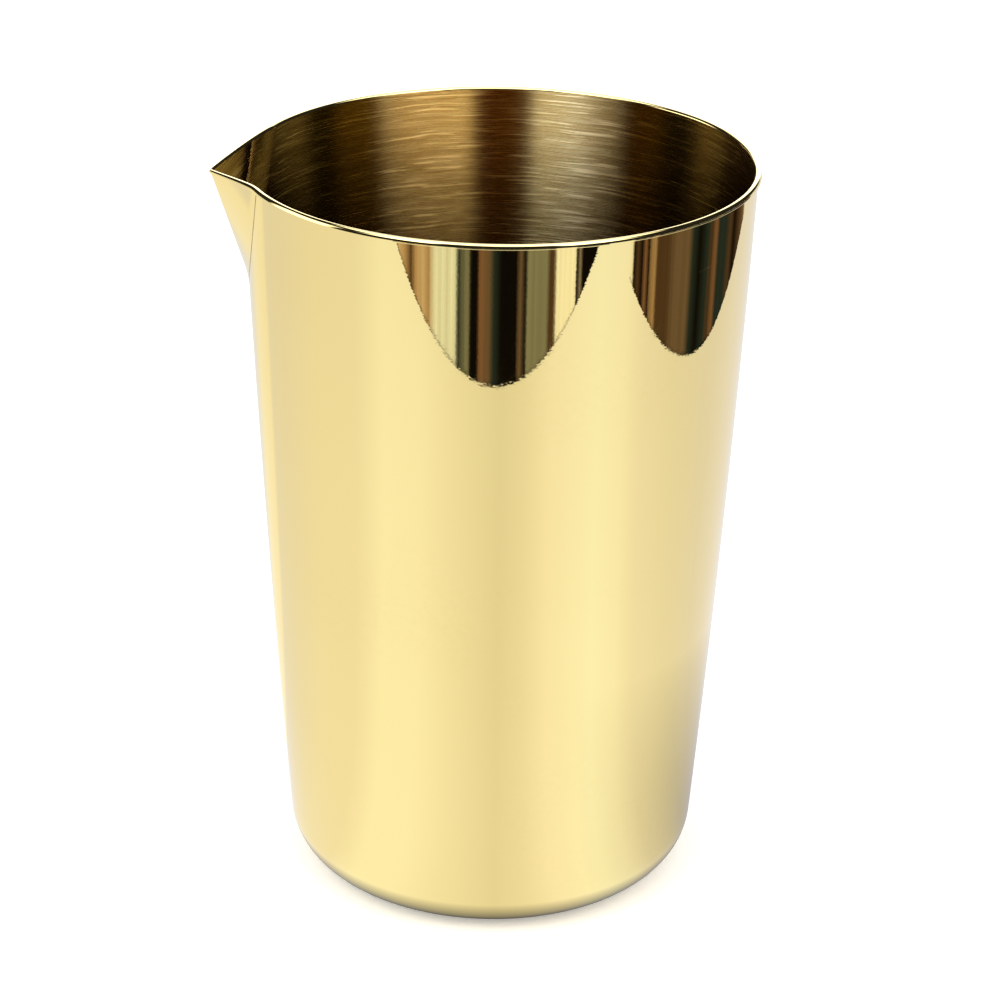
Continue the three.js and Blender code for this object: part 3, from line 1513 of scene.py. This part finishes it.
@dataclass(frozen=True)
class RoomLight:
    """The light round the cup that isn't a lamp, by the direction that it comes from.

    Azimuths are degrees round from the camera, positive to the right. Heights are sines of the elevation.
    A stretch is where a part of the room fades in or out.

    Args:
        tones: Pairs of an azimuth and the colour that the brushed inside sees there.
        even: Strength of the white that the camera and the matt floor see.
        dark: What is left between the bright parts.
        overhead: Heights where the overhead sheet starts.
        overhead_strength: Its strength.
        beside: Azimuths to the left where the lit wall starts and ends.
        behind: Azimuths to either side where it starts behind the cup.
        wall_top: Heights where it ends.
        wall_strength: Its strength.
        box_sides: Azimuths to either side where a soft box's reflection starts and ends.
        box_foot: Heights where it starts.
        box_strength: Its strength.
        inside_foot: Heights where the inside's tones start.
        inside_top: Heights where they fade.
        inside_share: How much of them fades there.
        inside_strength: Their strength.
        inside_loss: How much of them a second bounce loses.
    """

    tones: Stops
    even: float = 1.06
    dark: float = 0.02
    overhead: Stretch = (0.78, 0.84)
    overhead_strength: float = 2.6
    beside: tuple[Stretch, Stretch] = ((74.0, 80.0), (110.0, 116.0))
    behind: Stretch = (150.0, 158.0)
    wall_top: Stretch = (0.46, 0.56)
    wall_strength: float = 2.4
    box_sides: tuple[Stretch, Stretch] = ((28.0, 36.0), (60.0, 72.0))
    box_foot: Stretch = (0.5, 0.65)
    box_strength: float = 4.0
    inside_foot: Stretch = (0.02, 0.12)
    inside_top: Stretch = (0.12, 0.62)
    inside_share: float = 0.9
    inside_strength: float = 12.0
    inside_loss: float = 0.97

    def polished(self, azimuth: Field, up: Field) -> Field:
        """How bright the polished metal sees the room.

        Args:
            azimuth: Degrees round from the camera.
            up: Sine of the elevation.

        Returns:
            The brightness.
        """
        overhead = up.stage(*self.overhead) * self.overhead_strength
        wall = (-azimuth).window(*self.beside) + abs(azimuth).stage(*self.behind)
        wall = wall * up.fade(*self.wall_top) * self.wall_strength
        boxes = abs(azimuth).window(*self.box_sides) * up.stage(*self.box_foot) * self.box_strength
        return overhead.at_least(wall).at_least(boxes) + self.dark

    def brushed(self, up: Field, bounce: Field) -> Field:
        """How strongly the brushed metal sees its tones.

        Args:
            up: Sine of the elevation.
            bounce: How many times the ray has met the metal.

        Returns:
            The strength.
        """
        once = 1.0 - (bounce - 1.0).stage(0.0, 1.0) * self.inside_loss
        profile = up.stage(*self.inside_foot) * (1.0 - up.stage(*self.inside_top) * self.inside_share)
        return profile * once * self.inside_strength


@dataclass
class Studio:
    """The floor, the room beyond it, the light and the camera.

    Args:
        aim: The point that the camera looks at.
        stand: The camera's place.
        roll: The camera's roll in radians.
        lens: The camera's focal length in millimetres.
        sensor: The width of the camera's sensor in millimetres.
        floor_radius: Radius of the floor.
        floor_level: Height of the floor, just clear of the cup.
        paper_white: How white the floor's paper is.
        paper_grain: How much its grain varies.
        paper_glow: How strongly it glows, which keeps its shadow soft.
        table_radius: Radius of the table top, a glowing card whose light is painted.
        table_level: Height of the table top.
        contact: Distances from the axis over which the table grows out of the cup's own shadow, painted into
            its glow.
        contact_share: Brightness of that shadow.
        falloff: Distances over which the table darkens a little outwards.
        falloff_share: How much it darkens.
        near_light: Brightness of the table beside the cup.
        shade_reach: Distances over which the painted shade on the cup's right thins out.
        shade_sides: Azimuths where that shade starts and ends.
        shade_curve: How quickly it thins out.
        shade_share: How dark it is at most.
    """

    aim: Vector
    stand: Vector
    roll: float
    lens: float
    sensor: float = 36.0
    floor_radius: float = 4.0
    floor_level: float = -0.15 * MM
    paper_white: float = 0.9
    paper_grain: float = 0.012
    paper_glow: float = 0.28
    table_radius: float = 3.6
    table_level: float = 0.1 * MM
    contact: Stretch = (28.0 * MM, 35.5 * MM)
    contact_share: float = 0.1
    falloff: Stretch = (60.0 * MM, 300.0 * MM)
    falloff_share: float = 0.08
    near_light: float = 1.03
    shade_reach: Stretch = (34.0 * MM, 100.0 * MM)
    shade_sides: tuple[Stretch, Stretch] = ((35.0, 95.0), (125.0, 175.0))
    shade_curve: float = 0.8
    shade_share: float = 0.46

    def camera(self) -> bpy.types.Object:
        """Set up the camera.

        Returns:
            The camera.
        """
        data = bpy.data.cameras.new("studio_camera")
        data.lens = self.lens
        data.sensor_width = self.sensor
        data.clip_start, data.clip_end = 0.01, 30.0
        made = bpy.data.objects.new("studio_camera", data)
        back = (self.stand - self.aim).normalized()
        right = Vector((0.0, 0.0, 1.0)).cross(back).normalized()
        up = back.cross(right)
        cosine, sine = math.cos(self.roll), math.sin(self.roll)
        tilted_right = right * cosine + up * sine
        tilted_up = up * cosine - right * sine
        turned = Matrix((tilted_right, tilted_up, back)).transposed().to_4x4()
        made.matrix_world = Matrix.Translation(self.stand) @ turned
        bpy.context.scene.collection.objects.link(made)
        bpy.context.scene.camera = made
        return made

    def floor(self) -> bpy.types.Object:
        """Lay the plain pale floor.

        Returns:
            The floor.
        """
        mesh = bmesh.new()
        rings, spokes = 24, 96
        reaches = [self.floor_radius * (ring / rings) ** 2 for ring in range(1, rings + 1)]
        levels = [
            [mesh.verts.new(point) for point in circle(reach, spokes, self.floor_level)] for reach in reaches
        ]
        mesh.faces.new(levels[0])
        for inner, outer in zip(levels, levels[1:]):
            for spoke in range(spokes):
                after = (spoke + 1) % spokes
                mesh.faces.new((inner[spoke], outer[spoke], outer[after], inner[after]))
        bmesh.ops.recalc_face_normals(mesh, faces=mesh.faces)
        data = bpy.data.meshes.new("studio_floor")
        mesh.to_mesh(data)
        mesh.free()
        data.materials.append(self._paper())
        made = bpy.data.objects.new("studio_floor", data)
        bpy.context.scene.collection.objects.link(made)
        return made

    def _paper(self) -> bpy.types.Material:
        """Build the floor's matt white paper.

        Returns:
            The material.
        """
        made = bpy.data.materials.new("white_paper")
        made.use_nodes = True
        tree = made.node_tree
        shader = next(node for node in tree.nodes if node.type == "BSDF_PRINCIPLED")
        place = tree.nodes.new("ShaderNodeTexCoord").outputs["Object"]
        grain = noise(tree, place, 700.0, detail=3.0).stage(0.2, 0.8) * self.paper_grain + self.paper_white
        tree.links.new(tinted(grain, WARM_WHITE), shader.inputs["Base Color"])
        shader.inputs["Roughness"].default_value = 0.9
        shader.inputs["Specular IOR Level"].default_value = 0.1
        shader.inputs["Emission Color"].default_value = (1.0, 1.0, 1.0, 1.0)
        shader.inputs["Emission Strength"].default_value = self.paper_glow
        return made

    def card(self, card: RoomCard) -> bpy.types.Object:
        """Lay one streaked card, whose glow paints a reflection of the room.

        Args:
            card: What and where it is.

        Returns:
            The card.
        """
        made = self._reflected(card.name, [(x, y, card.height) for x, y in card.corners])
        tree, glow = glowing(made, card.name)
        x, y, _ = separated(tree, tree.nodes.new("ShaderNodeTexCoord").outputs["Object"])
        cosine, sine = math.cos(card.axis_turn), math.sin(card.axis_turn)
        along, away = x * cosine + y * sine, x * sine - y * cosine
        slope = along / away
        drawn = combined(slope * card.grain_across, away * card.grain_along, 0.0)
        grain = noise(tree, drawn, 1.0, detail=3.0, rough=0.6)
        shifted = slope + (grain - 0.5) * card.grain_shift
        tree.links.new(coloured(tree, shifted, card.streaks), glow.inputs["Color"])
        beyond = away - along * card.edge_slope - card.edge
        lip = beyond.stage(*card.lip) * (1.0 - card.lip_share) + card.lip_share
        tree.links.new(((grain * card.grain_swing + card.grain_least) * lip).socket, glow.inputs["Strength"])
        return made

    def table(self, tones: Stops) -> bpy.types.Object:
        """Lay the table top as the polished wall shows it: a glowing card seen only in reflections, with the
        soft boxes' uneven light painted into its glow.

        Args:
            tones: Pairs of degrees round from the camera, positive to the right, and a colour.

        Returns:
            The table top.
        """
        made = self._reflected("painted_table_reflection", circle(self.table_radius, 64, self.table_level))
        tree, glow = glowing(made, "painted_table_reflection")
        x, y, _ = separated(tree, tree.nodes.new("ShaderNodeTexCoord").outputs["Object"])
        azimuth = round_from_camera(x, y)
        away = (x * x + y * y).root()
        # Painted light: the card's colour and brightness round the cup stand in for the floor as the soft
        # boxes light it.
        tree.links.new(coloured(tree, azimuth, tones), glow.inputs["Color"])
        # Painted shadow: darker round the cup's foot, a little darker outwards, and a painted shade to the
        # cup's right.
        contact = away.stage(*self.contact) * (1.0 - self.contact_share) + self.contact_share
        falloff = self.near_light - away.stage(*self.falloff) * self.falloff_share
        shade = away.fade(*self.shade_reach).power(self.shade_curve) * self.shade_share
        shade = shade * azimuth.window(*self.shade_sides)
        feed(tree, glow.inputs["Strength"], contact * falloff * (1.0 - shade))
        return made

    def _reflected(self, name: str, corners: list[tuple[float, float, float]]) -> bpy.types.Object:
        """Lay a flat shape that only reflections show.

        Args:
            name: Its name.
            corners: Its corners.

        Returns:
            The shape.
        """
        data = bpy.data.meshes.new(name)
        data.from_pydata(corners, [], [tuple(range(len(corners)))])
        made = bpy.data.objects.new(name, data)
        bpy.context.scene.collection.objects.link(made)
        made.visible_camera = made.visible_diffuse = made.visible_shadow = False
        return made

    def light(self, box: SoftBox) -> bpy.types.Object:
        """Hang one soft box.

        Args:
            box: What and where it is.

        Returns:
            The light.
        """
        data = bpy.data.lights.new(box.name, "AREA")
        data.shape = "RECTANGLE"
        data.size, data.size_y = box.width, box.height
        data.energy = box.power
        data.color = box.tint
        made = bpy.data.objects.new(box.name, data)
        turn, rise = math.radians(box.azimuth), math.radians(box.elevation)
        away = Vector((math.sin(turn) * math.cos(rise), -math.cos(turn) * math.cos(rise), math.sin(rise)))
        facing = away.to_track_quat("Z", "Y").to_matrix().to_4x4()
        made.matrix_world = Matrix.Translation(self.aim + away * box.distance) @ facing
        made.visible_glossy = False
        bpy.context.scene.collection.objects.link(made)
        return made

    def room(self, light: RoomLight) -> None:
        """Set the room's light: white to the camera and the floor, a lit room to the metal.

        The polished metal sees soft boxes high in front, an overhead sheet and a lit wall behind. The brushed
        inside sees the same room as it falls into the cup's mouth, with little of it after a second bounce.

        Args:
            light: The room's light.
        """
        world = bpy.data.worlds.new("studio_room")
        bpy.context.scene.world = world
        world.use_nodes = True
        world.cycles.sampling_method = "NONE"
        tree = world.node_tree
        tree.nodes.clear()
        ray = tree.nodes.new("ShaderNodeLightPath")
        x, y, up = separated(tree, tree.nodes.new("ShaderNodeTexCoord").outputs["Generated"])
        azimuth = round_from_camera(x, y)
        inward = light.brushed(up, Field(tree, ray.outputs["Glossy Depth"]))
        brushed = self._background(tree, coloured(tree, azimuth, light.tones), inward)
        polished = self._background(tree, tinted(light.polished(azimuth, up), WARM_WHITE), 1.0)
        even = self._background(tree, WARM_WHITE, light.even)
        metal = self._either(tree, ray.outputs["Is Singular Ray"], brushed, polished)
        whole = self._either(tree, ray.outputs["Is Glossy Ray"], even, metal)
        end = tree.nodes.new("ShaderNodeOutputWorld")
        tree.links.new(whole, end.inputs["Surface"])

    def _background(
        self, tree: bpy.types.NodeTree, colour: bpy.types.NodeSocket | Colour, strength: Field | float
    ) -> bpy.types.NodeSocket:
        """Add a background.

        Args:
            tree: The world's tree.
            colour: Its colour, computed or plain.
            strength: Its strength, computed or plain.

        Returns:
            The background.
        """
        node = tree.nodes.new("ShaderNodeBackground")
        if isinstance(colour, bpy.types.NodeSocket):
            tree.links.new(colour, node.inputs["Color"])
        else:
            node.inputs["Color"].default_value = (*colour, 1.0)
        feed(tree, node.inputs["Strength"], strength)
        return node.outputs[0]

    def _either(
        self,
        tree: bpy.types.NodeTree,
        which: bpy.types.NodeSocket,
        otherwise: bpy.types.NodeSocket,
        chosen: bpy.types.NodeSocket,
    ) -> bpy.types.NodeSocket:
        """Choose between two backgrounds by a kind of ray.

        Args:
            tree: The world's tree.
            which: Whether the ray is of that kind.
            otherwise: What other rays see.
            chosen: What rays of that kind see.

        Returns:
            The choice.
        """
        mix = tree.nodes.new("ShaderNodeMixShader")
        for source, entry in zip((which, otherwise, chosen), mix.inputs):
            tree.links.new(source, entry)
        return mix.outputs[0]


# Colours of the painted reflections of the room on the streaked cards.
BLACK: Colour = (0.005, 0.004, 0.003)
INK: Colour = (0.02, 0.03, 0.03)
BROWN: Colour = (0.08, 0.045, 0.025)
UMBER: Colour = (0.15, 0.10, 0.068)
OLIVE: Colour = (0.23, 0.23, 0.18)
TAN: Colour = (0.46, 0.30, 0.18)
SAND: Colour = (0.66, 0.50, 0.36)
RUST: Colour = (0.21, 0.11, 0.065)
GREY: Colour = (0.26, 0.22, 0.20)
PALE: Colour = (0.82, 0.86, 0.86)
WHITE: Colour = (1.04, 1.03, 1.0)

FRONT_ROOM = RoomCard(
    "front_room",
    ((-2.2, -2.25), (2.4, -2.3), (0.242, -0.232), (-0.222, -0.226)),
    0.0,
    (
        (-1.16, WHITE), (-1.05, BLACK), (-0.97, BROWN), (-0.90, SAND), (-0.82, TAN), (-0.75, BROWN),
        (-0.70, TAN), (-0.63, SAND), (-0.56, TAN), (-0.50, PALE), (-0.33, PALE), (-0.30, INK), (-0.23, OLIVE),
        (-0.20, BLACK), (-0.155, BLACK), (-0.13, RUST), (-0.07, UMBER), (-0.03, INK), (0.02, BLACK),
        (0.13, BLACK), (0.16, UMBER), (0.195, BLACK), (0.22, OLIVE), (0.36, OLIVE), (0.385, BROWN),
        (0.425, BROWN), (0.445, WHITE), (0.62, WHITE), (0.635, BLACK), (0.67, GREY), (0.70, BLACK),
        (1.05, BLACK),
    ),
    edge=0.22886,
    edge_slope=0.0129,
)
SIDE_ROOM = RoomCard(
    "side_room",
    ((0.242, -0.160), (2.4, -1.58), (2.4, 2.35), (0.242, 0.237)),
    HALF_TURN / 2,
    (
        (-0.64, WHITE), (-0.61, BLACK), (-0.57, BROWN), (-0.52, BLACK), (-0.48, RUST), (-0.45, BLACK),
        (-0.39, TAN), (-0.35, BROWN), (-0.25, BROWN), (-0.16, UMBER), (-0.03, UMBER), (0.02, INK),
        (0.10, BLACK), (0.20, INK), (0.26, BROWN), (0.31, RUST), (0.36, INK), (0.48, INK), (0.57, BROWN),
        (0.66, BLACK), (0.80, BROWN), (0.92, UMBER), (1.0, WHITE),
    ),
    edge=0.242,
)
# Painted light of the table card: its colour and brightness by degrees round from the camera, as the polished
# wall reflects the floor.
TABLE_TONES: Stops = (
    (-180.0, (0.90, 0.90, 0.92)), (-150.0, (0.90, 0.90, 0.92)), (-141.0, (1.05, 1.00, 0.84)),
    (-127.5, (1.05, 1.00, 0.84)), (-124.5, (0.90, 0.88, 0.88)), (-108.0, (0.92, 0.90, 0.92)),
    (-85.0, (0.97, 0.95, 0.94)), (-64.0, (0.98, 0.96, 0.97)), (-50.0, (1.08, 1.10, 1.13)),
    (-33.0, (1.07, 1.08, 1.10)), (-17.0, (0.98, 0.97, 0.96)), (2.0, (0.87, 0.85, 0.82)),
    (12.0, (0.93, 0.91, 0.90)), (23.0, (1.05, 1.03, 1.07)), (44.0, (1.09, 1.14, 1.22)),
    (56.0, (1.06, 1.08, 1.14)), (66.0, (0.97, 0.96, 1.02)), (85.0, (0.90, 0.89, 0.93)),
    (108.0, (0.86, 0.85, 0.95)), (130.0, (0.90, 0.89, 0.98)), (180.0, (0.90, 0.90, 0.92)),
)
INSIDE_TONES: Stops = (
    (-180.0, (0.015, 0.01, 0.006)), (-128.0, (0.015, 0.01, 0.006)), (-120.0, (0.09, 0.07, 0.03)),
    (-108.0, (0.105, 0.075, 0.03)), (-100.0, (0.004, 0.003, 0.001)), (-84.0, (0.004, 0.003, 0.001)),
    (-75.0, (0.03, 0.015, 0.001)), (-61.0, (0.02, 0.008, 0.0)), (-55.0, (0.15, 0.14, 0.14)),
    (-48.0, (0.25, 0.24, 0.25)), (-35.0, (0.57, 0.61, 0.78)), (-20.0, (0.55, 0.56, 0.58)),
    (-17.0, (0.50, 0.50, 0.52)), (-12.0, (0.05, 0.02, 0.0)), (11.0, (0.03, 0.005, 0.0)),
    (16.0, (0.50, 0.41, 0.28)), (40.0, (0.46, 0.37, 0.26)), (50.0, (0.38, 0.31, 0.22)),
    (56.0, (0.25, 0.21, 0.17)), (61.0, (0.05, 0.028, 0.002)), (80.0, (0.045, 0.025, 0.002)),
    (86.0, (0.006, 0.004, 0.0)), (98.0, (0.006, 0.004, 0.0)), (106.0, (0.075, 0.06, 0.025)),
    (124.0, (0.075, 0.06, 0.025)), (132.0, (0.032, 0.022, 0.012)), (180.0, (0.02, 0.014, 0.008)),
)
LEFT_BOX = SoftBox("left_soft_box", -46.0, 42.0, 1.1, 0.55, 0.6, 3.2)
RIGHT_BOX = SoftBox("right_soft_box", 46.0, 42.0, 1.1, 0.55, 0.6, 2.6)


def main() -> None:
    """Build the studio and the cup, piece by piece."""
    logging.basicConfig(level=logging.INFO, format="%(name)s: %(message)s")
    bpy.context.scene.view_settings.view_transform = "Standard"
    studio = Studio(
        aim=Vector((0.00078, 0.0, 0.062436)),
        stand=Vector((0.0, -0.4845, 0.273728)),
        roll=0.017,
        lens=117.335,
    )
    studio.camera()
    studio.room(RoomLight(INSIDE_TONES))
    studio.floor()
    studio.table(TABLE_TONES)
    for card in (FRONT_ROOM, SIDE_ROOM):
        studio.card(card)
    for box in (LEFT_BOX, RIGHT_BOX):
        studio.light(box)
    gold = GoldSheet()
    mirror, edge, brushed, weld = (gold.material(finish) for finish in (MIRROR, EDGE, BRUSHED, WELD))
    sizes = CupSizes.from_model()
    cup = CupBody(sizes, mirror, brushed, edge)
    cup.shell()
    cup.hem()
    spout = PourSpout(sizes, mirror, brushed, edge, weld)
    spout.shell()
    spout.hem()
    spout.seam()


if __name__ == "__main__":
    main()
